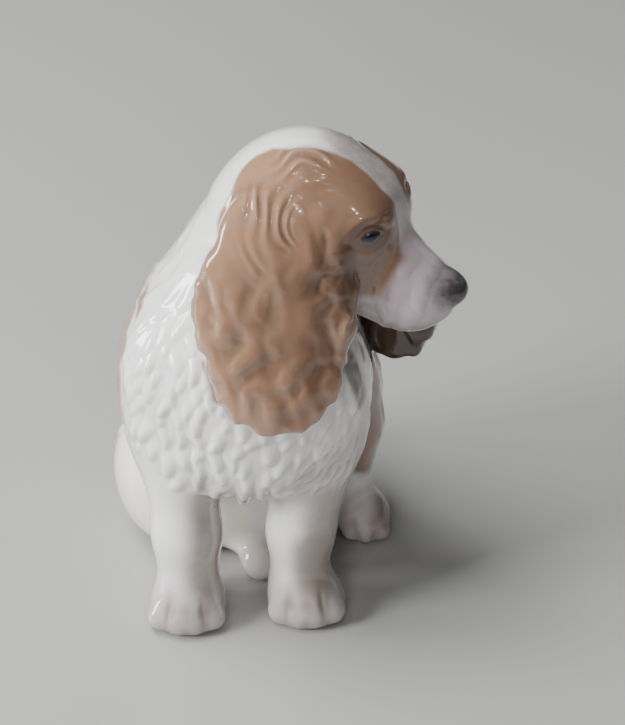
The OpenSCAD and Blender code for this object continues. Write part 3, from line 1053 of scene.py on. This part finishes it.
plate_rim = 4.0
plate_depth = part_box("base_plate")[1][2] / MM
ground_round = 1.2  # how far the clay rounds off into the ground foot
recess_round = 0.5


def seat_gap(points):
    """Distance outside the opening in the foot that the base plate closes."""
    level = points * (1, 1, 0) + (0, 0, 1.5)
    return press_on(no_clay(points), level, clay["torso"][:2]) + plate_rim


def dog(points):
    """Distance outside the joined clay, standing on its ground foot."""
    distance = no_clay(points)
    for forms in clay.values():
        press_on(distance, points, forms)
    distance = -melt(-distance, points[:, 2], ground_round)
    low = points[:, 2] < plate_depth + 3
    recess = np.maximum(seat_gap(points[low]), points[low, 2] - plate_depth)
    distance[low] = -melt(-distance[low], recess, recess_round)
    return distance


def slope_of(field, points):
    """The way and the rate at which a field grows at each point."""
    small = 0.05
    corners = np.array([[1, -1, -1], [-1, -1, 1], [-1, 1, -1], [1, 1, 1]], float)
    total = sum(corner * field(points + corner * small)[:, None] for corner in corners)
    return total / (4 * small)


def settle(field, points, passes=2):
    """Moves points along the slope of the field on to its surface."""
    for _ in range(passes):
        slope = slope_of(field, points)
        share = field(points) / np.maximum((slope**2).sum(1), 0.05)
        points = points - slope * share[:, None]
    return points


def skin_over(field, low, high, step):
    """Quads over the surface of a field, with one vertex in each cell that the surface crosses."""
    coarse = 4
    cells = np.ceil((high - low) / (step * coarse)).astype(int)
    axes = [low[i] + np.arange(cells[i] + 1) * step * coarse for i in range(3)]
    grid = np.stack(np.meshgrid(*axes, indexing="ij"), -1)
    values = field(grid.reshape(-1, 3)).reshape(cells + 1)
    for axis in range(3):
        fine = np.arange(cells[axis] * coarse + 1) / coarse
        first = np.minimum(fine.astype(int), cells[axis] - 1)
        share = (fine - first).reshape([-1 if i == axis else 1 for i in range(3)])
        values = np.take(values, first, axis) * (1 - share) + np.take(values, first + 1, axis) * share
    near = np.abs(values) < 1.5 * step * coarse + 0.5
    values[near] = field(low + np.argwhere(near) * step)
    inside = values < 0
    size = np.array(values.shape) - 1
    count = np.zeros(size, int)
    corners = [np.array(c) for c in np.ndindex(2, 2, 2)]
    for c in corners:
        count += inside[c[0]:size[0] + c[0], c[1]:size[1] + c[1], c[2]:size[2] + c[2]]
    crossed = (count > 0) & (count < 8)
    cell = np.argwhere(crossed)
    number = -np.ones(size, int)
    number[crossed] = np.arange(len(cell))
    total = np.zeros((len(cell), 3))
    hits = np.zeros(len(cell))
    for c in corners:
        for axis in np.flatnonzero(c == 0):
            far = c + np.eye(3, dtype=int)[axis]
            here, there = values[tuple((cell + c).T)], values[tuple((cell + far).T)]
            cut = (here < 0) != (there < 0)
            point = np.tile(c.astype(float), (cut.sum(), 1))
            point[:, axis] += here[cut] / (here[cut] - there[cut])
            total[cut] += point
            hits[cut] += 1
    points = low + (cell + total / hits[:, None]) * step
    quads = []
    for axis in range(3):
        one, two = (axis + 1) % 3, (axis + 2) % 3
        here = np.take(inside, np.arange(size[axis]), axis)
        there = np.take(inside, np.arange(1, size[axis] + 1), axis)
        edge = np.argwhere(here != there)
        above = (edge[:, one] > 0) & (edge[:, two] > 0)
        below = (edge[:, one] < size[one]) & (edge[:, two] < size[two])
        edge = edge[above & below]
        around = []
        for back_one, back_two in ((1, 1), (0, 1), (0, 0), (1, 0)):
            beside = edge.copy()
            beside[:, one] -= back_one
            beside[:, two] -= back_two
            around.append(number[tuple(beside.T)])
        quad = np.stack(around, 1)
        out_facing = inside[tuple(edge.T)]
        quad[~out_facing] = quad[~out_facing][:, ::-1]
        quads.append(quad)
    return points, np.concatenate(quads)


def tree_of(points):
    """A tree that finds the points within a distance of a place."""
    tree = KDTree(len(points))
    for i, point in enumerate(points):
        tree.insert(point, i)
    tree.balance()
    return tree


def lock_places(coat_, rng):
    """Roots of the locks: random points settled on the clay, no closer than the spacing."""
    tries, close = 9000, 3.5
    low, high = np.array(coat_["low"], float), np.array(coat_["high"], float)
    points = rng.uniform(low, high, (tries, 3))
    points = points[np.abs(dog(points)) < close]
    points = settle(dog, points, 3)
    weight = coat_["zone"](points)
    points = points[weight > 0.08]
    tree = tree_of(points)
    taken = np.zeros(len(points), bool)
    blocked = np.zeros(len(points), bool)
    for i, point in enumerate(points):
        if not blocked[i]:
            taken[i] = True
            for _, other, _ in tree.find_range(point, coat_["spacing"]):
                blocked[other] = True
    return points[taken]


def lay_locks():
    """Every lock of every coat: its middle, its three axes, and its sizes."""
    locks = []
    for coat_ in coats:
        rng = np.random.default_rng(coat_["seed"])
        middles = lock_places(coat_, rng)
        normals = unit(slope_of(dog, middles))
        flows = coat_["flow"](middles) + 0.22 * rng.normal(size=middles.shape)
        flows = unit(flows - (flows * normals).sum(1)[:, None] * normals)
        sides = np.cross(normals, flows)
        weights = coat_["zone"](middles)
        for i in range(len(middles)):
            size = rng.uniform(0.75, 1.25)
            locks.append((middles[i], flows[i], sides[i], normals[i], coat_["length"] * size,
                          coat_["width"] * rng.uniform(0.8, 1.2), coat_["height"] * weights[i] * size,
                          coat_["curl"] * rng.choice((-1, 1)) * rng.uniform(0.3, 1)))
    return locks


locks = lay_locks()


def relief(points):
    """Height of the tooled detail at each point. It follows from the place alone."""
    tree = tree_of(points)
    height = np.zeros(len(points))
    for middle, along, side, out_, length, width, tall, curl in locks:
        found = np.array([i for _, i, _ in tree.find_range(middle, length * 0.62)], int)
        if len(found) == 0:
            continue
        local = points[found] - middle
        s = local @ along / length + 0.5
        bow = curl * length * np.sin(2 * pi * s) * 0.5
        t = (local @ side - bow) / (width / 2)
        narrowing = np.clip(1.12 - 0.75 * np.clip(s, 0, 1) ** 2.2, 0.05, 1)
        round_ = np.clip(1 - (t / narrowing) ** 2, 0, 1) ** 1.4
        rise = ease(s / 0.75) * ease((1.04 - s) / 0.3)
        flat = np.clip(1 - (local @ out_ / 5) ** 2, 0, 1)
        height[found] = np.maximum(height[found], tall * round_ * rise * flat)
    height *= ease(np.minimum(right_leaf(points), left_leaf(points)) / 2.5 - 0.2)
    for height_at in tooling:
        height += height_at(points)
    return height


def tooled(points):
    """The clay surface at these points with its relief raised, and the relief's height."""
    normals = unit(slope_of(dog, points))
    height = relief(points)
    raised = points + normals * height[:, None]
    raised[:, 2] = np.maximum(raised[:, 2], 0)
    return raised, height


def sides_of(quads):
    """The two ends of each of the four sides of the quads."""
    return np.concatenate([np.stack([quads[:, i], quads[:, (i + 1) % 4]], 1) for i in range(4)])


def refine(points, quads):
    """Each quad cut in four. Gives the new points and quads, and the two ends of each old edge."""
    edges = np.sort(sides_of(quads), 1)
    ends, index = np.unique(edges, axis=0, return_inverse=True)
    index = index.reshape(4, -1).T + len(points)
    centre = np.arange(len(quads)) + len(points) + len(ends)
    finer = [np.stack([quads[:, i], index[:, i], centre, index[:, (i + 3) % 4]], 1) for i in range(4)]
    grown = np.concatenate([points, points[ends].mean(1), points[quads].mean(1)])
    return grown, np.concatenate(finer), ends


def normals_of(points, quads):
    """A normal at each point, from the quads round it."""
    cross = np.cross(points[quads[:, 2]] - points[quads[:, 0]], points[quads[:, 3]] - points[quads[:, 1]])
    total = np.zeros_like(points)
    for i in range(4):
        np.add.at(total, quads[:, i], cross)
    return total / np.maximum(np.linalg.norm(total, axis=1, keepdims=True), 1e-12)


def roundness(points, quads, normals, passes=2):
    """How sharply the surface turns at each point, above 0 on ridges and below 0 in hollows."""
    pairs = sides_of(quads)
    run = points[pairs[:, 1]] - points[pairs[:, 0]]
    bend = ((normals[pairs[:, 1]] - normals[pairs[:, 0]]) * run).sum(1) / np.maximum((run**2).sum(1), 1e-9)
    count = np.maximum(np.bincount(pairs.ravel(), minlength=len(points)).astype(float), 1)

    def mean(at_start, at_end):
        starts = np.bincount(pairs[:, 0], at_start, len(points))
        return (starts + np.bincount(pairs[:, 1], at_end, len(points))) / count

    value = mean(bend, bend)
    for _ in range(passes):
        value = 0.4 * value + 0.6 * mean(value[pairs[:, 1]], value[pairs[:, 0]])
    return value


step = 0.62
room = 12.0
low = np.array(cad_box[0]) / MM - room
high = np.array(cad_box[1]) / MM + room
smooth_points, quads = skin_over(dog, low, high, step)
smooth_points = settle(dog, smooth_points)
points, heights = tooled(smooth_points)
normals = normals_of(points, quads)


def owners(quads):
    """The casting whose own clay is nearest to each quad, with stray islands given to a neighbour."""
    middles = smooth_points[quads].mean(1)
    fields = [press_on(no_clay(middles), middles, forms) for forms in clay.values()]
    owner = np.argmin(fields, axis=0)
    key = np.sort(sides_of(quads), 1) @ np.array([len(smooth_points), 1])
    order = np.argsort(key, kind="stable")
    face = np.tile(np.arange(len(quads)), 4)[order]
    same = np.flatnonzero(key[order][1:] == key[order][:-1])
    links = [[] for _ in range(len(quads))]
    for i in same:
        links[face[i]].append(face[i + 1])
        links[face[i + 1]].append(face[i])
    seen = np.zeros(len(quads), bool)
    islands = []
    for first in range(len(quads)):
        if seen[first]:
            continue
        seen[first] = True
        island = [first]
        for current in island:
            for other in links[current]:
                if not seen[other] and owner[other] == owner[first]:
                    seen[other] = True
                    island.append(other)
        islands.append(island)
    largest = {}
    for island in islands:
        name = owner[island[0]]
        largest[name] = max(largest.get(name, 0), len(island))
    for island in sorted(islands, key=len):
        name = owner[island[0]]
        if len(island) < largest[name]:
            around = [owner[o] for current in island for o in links[current] if owner[o] != name]
            if around:
                owner[island] = np.bincount(around).argmax()
    return owner


def rims(quads):
    """Loops of vertices round the open edges of a set of quads."""
    sides = Counter((q[i], q[(i + 1) % 4]) for q in quads.tolist() for i in range(4))
    leaving = {}
    for (a, b), times in sides.items():
        for _ in range(times - sides.get((b, a), 0)):
            leaving.setdefault(b, []).append(a)
    loops = []
    while leaving:
        start = next(iter(leaving))
        loop = [start]
        current = start
        while True:
            following = leaving[current].pop()
            if not leaving[current]:
                del leaving[current]
            if following == start:
                break
            loop.append(following)
            current = following
        loops.append(loop)
    return loops


def paint_on(mesh, surface, height, bend):
    """The sprayed colours, the marks that the glaze follows and the painted shade of hollows, as one value
    at each vertex.
    """
    shares = {name: np.zeros(len(surface)) for name in ("tan", "brown", "grey", "blush", "bare")}
    for colour, form, reach, fade, strength in sprays:
        near = np.flatnonzero(np.linalg.norm(surface - form.middle, axis=1) < form.reach + reach + fade)
        if len(near):
            cover = strength * ease((reach + fade - form(surface[near])) / max(fade, 1e-6))
            shares[colour][near] = 1 - (1 - shares[colour][near]) * (1 - cover)
    shares["tan"] *= 1 - shares.pop("bare")
    # hollow darkens recesses in the shader, as pooled glaze and as painted shade.
    shares["hollow"] = ease(-bend / 0.5 + 0.05) * 0.6 + 0.4 * ease(-height / 0.9)
    shares["ridge"] = ease(bend / 0.55 - 0.15) * 0.7 + 0.3 * ease(height / 0.9 - 0.2)
    q = in_head(surface)
    shares["nose_gap"] = np.clip(nose_gap(q), -20, 20)
    for name, values in shares.items():
        attribute = mesh.attributes.new(name, "FLOAT", "POINT")
        attribute.data.foreach_set("value", values.astype(np.float32))
    a, b, c = eye_place(q)
    at_eye = np.stack([a, b, ease((8 - np.hypot(a, b)) / 2) * ease((5 - np.abs(c)) / 2)], 1)
    attribute = mesh.attributes.new("at_eye", "FLOAT_VECTOR", "POINT")
    attribute.data.foreach_set("vector", at_eye.astype(np.float32).ravel())


bends = roundness(points, quads, normals)
owner = owners(quads)
for place_in_list, name in enumerate(clay):
    piece, refined = castings[name]
    own = quads[owner == place_in_list]
    used, own = np.unique(own, return_inverse=True)
    own = own.reshape(-1, 4)
    where, tall, facing, bend = points[used], heights[used], normals[used], bends[used]
    smooth = smooth_points[used]
    if refined:
        grown, own, ends = refine(smooth, own)
        fixed = len(smooth)
        grown[fixed:] = settle(dog, grown[fixed:])
        smooth = grown
        where, tall = tooled(smooth)
        finer = normals_of(where, own)
        rim = np.unique([v for loop in rims(own) for v in loop])
        shared = np.concatenate([facing, unit(facing[ends].mean(1)), finer[fixed + len(ends):]])
        finer[rim] = shared[rim]
        facing = finer
        bend = roundness(where, own, facing, 4)
    loops = rims(own)
    caps = []
    centres = []
    for loop in loops:
        centre = len(where) + len(centres)
        centres.append(where[loop].mean(0))
        caps += [(loop[i], loop[(i + 1) % len(loop)], centre) for i in range(len(loop))]
    centres = np.array(centres).reshape(-1, 3)
    whole = np.concatenate([where, centres])
    mesh = piece.data
    mesh.from_pydata(whole * MM, [], own.tolist() + caps)
    level = np.zeros(len(centres))
    paint_on(mesh, np.concatenate([smooth, centres]), np.append(tall, level), np.append(bend, level))
    mesh.shade_smooth()
    cap_facing = []
    for a, b, c in caps:
        across = np.cross(whole[b] - whole[a], whole[c] - whole[a])
        cap_facing += [across / max(np.linalg.norm(across), 1e-12)] * 3
    loop_normals = np.concatenate([facing[own].reshape(-1, 3), np.array(cap_facing).reshape(-1, 3)])
    mesh.normals_split_custom_set(loop_normals.tolist())

# ---------------------------------------------------------------- Base plate
# A flat plate of unglazed porcelain closes the body. It is cut from a slab, has a vent hole for
# the firing, and is ground level with the foot. Its outline follows the opening it fits.

plate_fit = 0.3
vent_radius = 4.0
vent_back = 7.0
plate_lift = 0.2  # the plate stands this far back from the ground and from the torso's recess
outline_points = 96


def plate_outline():
    """The edge of the opening, less the fit, found outwards from its middle at even angles."""
    angles = np.arange(outline_points) * 2 * pi / outline_points
    rays = np.stack([np.cos(angles), np.sin(angles), 0 * angles], 1)
    near, far = np.zeros(outline_points), np.full(outline_points, 45.0)
    for _ in range(20):
        middle = (near + far) / 2
        outside = seat_gap(seat + rays * middle[:, None]) > -plate_fit
        far = np.where(outside, middle, far)
        near = np.where(outside, near, middle)
    return seat + rays * near[:, None]


slab = bpy.data.node_groups.new("slab_with_vent", "GeometryNodeTree")
sockets(slab, "INPUT", "Geometry", {"Outline": None})
sockets(slab, "INPUT", "Float", {"Thickness": 0.003, "Vent Radius": 0.004})
sockets(slab, "INPUT", "Vector", {"Vent Place": None})
sockets(slab, "INPUT", "Material", {"Material": None})
sockets(slab, "OUTPUT", "Geometry", {"Plate": None})
given = slab.nodes.new("NodeGroupInput").outputs


def slab_step(kind, given_to):
    """One step in making the slab: a geometry node with its inputs given. It returns the result."""
    node = slab.nodes.new("GeometryNode" + kind)
    for name, value in given_to.items():
        if isinstance(value, bpy.types.NodeSocket):
            slab.links.new(value, node.inputs[name])
        else:
            node.inputs[name].default_value = value
    return node.outputs[0]


def joined(*parts):
    node = slab.nodes.new("GeometryNodeJoinGeometry")
    for part in parts:
        slab.links.new(part, node.inputs[0])
    return node.outputs[0]


edge = slab_step("MeshToCurve", {"Mesh": given["Outline"]})
vent = slab_step("CurvePrimitiveCircle", {"Resolution": 48, "Radius": given["Vent Radius"]})
vent = slab_step("Transform", {"Geometry": vent, "Translation": given["Vent Place"]})
face = slab_step("FillCurve", {"Curve": joined(edge, vent)})
tall = slab_step("ExtrudeMesh", {"Mesh": face, "Offset Scale": given["Thickness"], "Individual": False})
under = slab_step("FlipFaces", {"Mesh": face})
welded = slab_step("MergeByDistance", {"Geometry": joined(tall, under), "Distance": 1e-6})
real = slab_step("RealizeInstances", {"Geometry": welded})
coated = slab_step("SetMaterial", {"Geometry": real, "Material": given["Material"]})
finish = slab.nodes.new("NodeGroupOutput")
slab.links.new(coated, finish.inputs[0])

biscuit, tree, shader = new_material("biscuit")
place = tree.nodes.new("ShaderNodeTexCoord").outputs["Object"]
speck = noise(tree, place, 1500, 4, 0.7)
stain = noise(tree, place, 120, 3)
tone = mix_colour(tree, stain, (0.70, 0.66, 0.59, 1), (0.78, 0.76, 0.71, 1))
tone = mix_colour(tree, math_node(tree, "MULTIPLY", speck, 0.25), tone, (0.52, 0.47, 0.40, 1))
tree.links.new(tone, shader.inputs["Base Color"])
rough = math_node(tree, "ADD", math_node(tree, "MULTIPLY", speck, 0.2), 0.68)
tree.links.new(rough, shader.inputs["Roughness"])
bump_on(tree, shader, speck, 0.4, 0.08)

ring = plate_outline() * MM
ring[:, 2] = plate_lift * MM
outline = bpy.data.meshes.new("plate_outline")
outline.from_pydata(ring, [(i, (i + 1) % outline_points) for i in range(outline_points)], [])
pattern = in_scene("plate_pattern", outline)
cutter = pattern.modifiers.new("slab", "NODES")
cutter.node_group = slab
vent_place = (seat[0] * MM, vent_back * MM, plate_lift * MM)
sizes = {"Thickness": (plate_depth - 2 * plate_lift) * MM, "Vent Radius": vent_radius * MM,
         "Vent Place": vent_place, "Material": biscuit}
for item in slab.interface.items_tree:
    if item.name in sizes:
        cutter[item.identifier] = sizes[item.name]
seen = bpy.context.evaluated_depsgraph_get()
plate_mesh = bpy.data.meshes.new_from_object(pattern.evaluated_get(seen))
bpy.data.objects.remove(pattern)
plate_mesh.shade_flat()
base_plate = in_scene("biscuit_plate", plate_mesh)
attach(base_plate, "root")
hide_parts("base_plate")

# ---------------------------------------------------------------- Stage
# A wide pale table with a faint sheen. Broad soft lights that don't show in the glaze light the
# figure. A small window on its right and a few small lamps overhead give the glaze its sparks.

floor_mesh = bpy.data.meshes.new("table_top")
half_table = 4.0
floor_mesh.from_pydata([(-half_table, -half_table, 0), (half_table, -half_table, 0),
                        (half_table, half_table, 0), (-half_table, half_table, 0)], [], [(0, 1, 2, 3)])
floor = in_scene("table_top", floor_mesh)
table, _, shader = new_material("pale_table")
set_inputs(shader, {"Base Color": (0.40, 0.40, 0.39, 1), "Roughness": 0.28})
floor_mesh.materials.append(table)

world = bpy.data.worlds.new("studio")
world.use_nodes = True
set_inputs(world.node_tree.nodes["Background"], {"Color": (0.55, 0.56, 0.58, 1), "Strength": 0.13})
bpy.context.scene.world = world

aim = Vector((0.01, -0.015, 0.075))


def lamp(name, place, width, height, power, colour=(1, 1, 1)):
    """A rectangular light turned to the figure."""
    light = bpy.data.lights.new(name, "AREA")
    light.shape = "RECTANGLE"
    light.size = width
    light.size_y = height
    light.energy = power
    light.color = colour
    holder = in_scene(name, light)
    holder.location = place
    holder.rotation_euler = (aim - Vector(place)).to_track_quat("-Z", "Y").to_euler()
    return holder


lamp("window", (-1.1, 0.05, 0.36), 0.26, 0.36, 6, (0.96, 0.98, 1))
soft_lights = [("bounce", (-1.0, -0.4, 0.6), 0.4, 0.4, 17), ("ceiling", (-0.45, 0.15, 1.2), 0.7, 0.6, 17),
               ("front", (-0.14, -1.05, 0.4), 0.3, 0.3, 3.4), ("fill", (0.9, -1.0, 0.5), 0.7, 0.5, 0.3)]
for name, place, wide, high, power in soft_lights:
    lamp(name, place, wide, high, power).visible_glossy = False
spark_size, spark_power = 0.035, 0.55
spark_places = [(-0.25, -0.75, 1.25), (0.05, -0.6, 1.35), (0.3, -0.8, 1.1), (0.2, -0.2, 1.4),
                (-0.45, -0.35, 1.3)]
for place in spark_places:
    lamp("spark", place, spark_size, spark_size, spark_power)

# ---------------------------------------------------------------- Camera
# It looks down on the figure from the front, far enough away to keep its proportions.

look_down = radians(35)
distance_away = 0.7
target = Vector((0.0192, -0.0143, 0.0673))
back = Vector((0, -cos(look_down), sin(look_down)))
lens = bpy.data.cameras.new("camera")
lens.sensor_fit = "VERTICAL"
lens.sensor_height = 36
lens.lens = 114.7
camera = in_scene("camera", lens)
camera.location = target + back * distance_away
camera.rotation_euler = (pi / 2 - look_down, 0, 0)
bpy.context.scene.camera = camera
